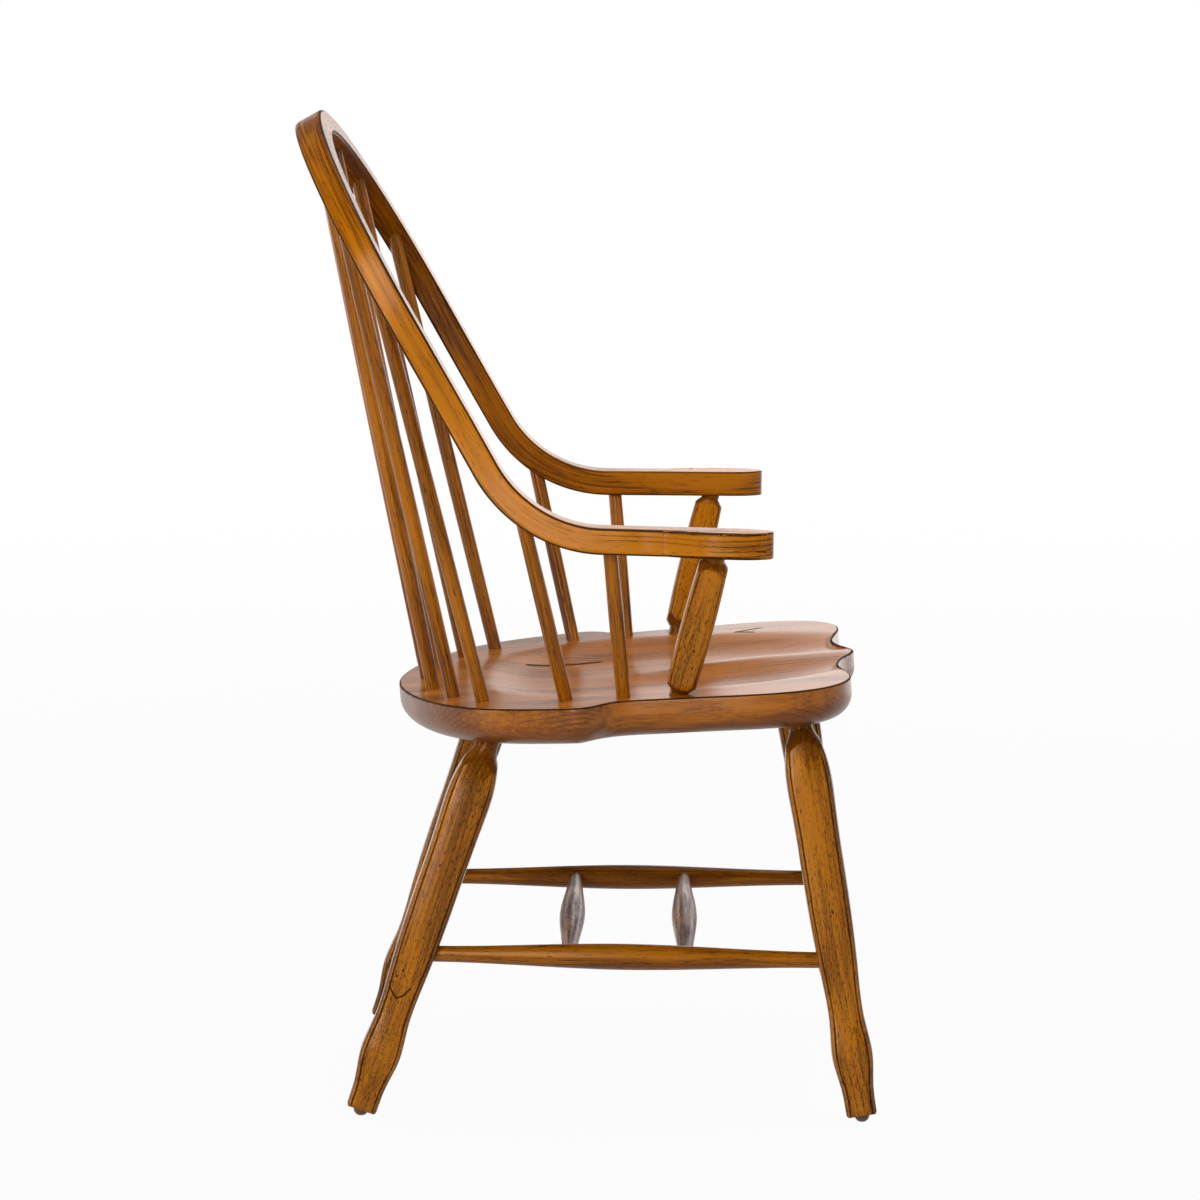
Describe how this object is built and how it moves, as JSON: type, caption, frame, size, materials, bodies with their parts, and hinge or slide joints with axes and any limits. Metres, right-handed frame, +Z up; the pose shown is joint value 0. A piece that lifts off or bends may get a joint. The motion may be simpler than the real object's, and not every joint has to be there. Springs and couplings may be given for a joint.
{
  "type": "bow back armchair",
  "caption": "Wooden armchair whose bent bow frames a leaning spindle back and runs on as both arms, over a saddled plank seat on splayed legs tied by swelled stretchers.",
  "frame": {"origin": "on the floor, in the middle of the chair's width and depth", "axes": "+X towards the sitter's left, -Y the way the sitter faces, +Z up"},
  "size_m": [0.6788, 0.6434, 1.0847],
  "materials": {
    "seat_wood": "satin lacquer over honey brown stain",
    "bow_wood": "satin lacquer over honey brown stain",
    "turned_wood": "satin lacquer over honey brown stain",
    "leg_wood": "satin lacquer over honey brown stain",
    "glide_metal": "brown painted domed nail"
  },
  "bodies": {
    "root": {"seat": "seat_wood", "bow": "bow_wood", "hand_block_left": "bow_wood", "hand_block_right": "bow_wood", "back_spindle_1": "turned_wood", "back_spindle_2": "turned_wood", "back_spindle_3": "turned_wood", "back_spindle_4": "turned_wood", "back_spindle_5": "turned_wood", "back_spindle_6": "turned_wood", "back_spindle_7": "turned_wood", "arm_spindle_rear_left": "turned_wood", "arm_spindle_front_left": "turned_wood", "arm_spindle_rear_right": "turned_wood", "arm_spindle_front_right": "turned_wood", "arm_post_left": "leg_wood", "arm_post_right": "leg_wood", "front_leg_left": "leg_wood", "front_leg_right": "leg_wood", "rear_leg_left": "leg_wood", "rear_leg_right": "leg_wood", "side_stretcher_left": "turned_wood", "side_stretcher_right": "turned_wood", "cross_stretcher_front": "turned_wood", "cross_stretcher_rear": "turned_wood", "glide_front_left": "glide_metal", "glide_front_right": "glide_metal", "glide_rear_left": "glide_metal", "glide_rear_right": "glide_metal"}
  },
  "joints": []
}
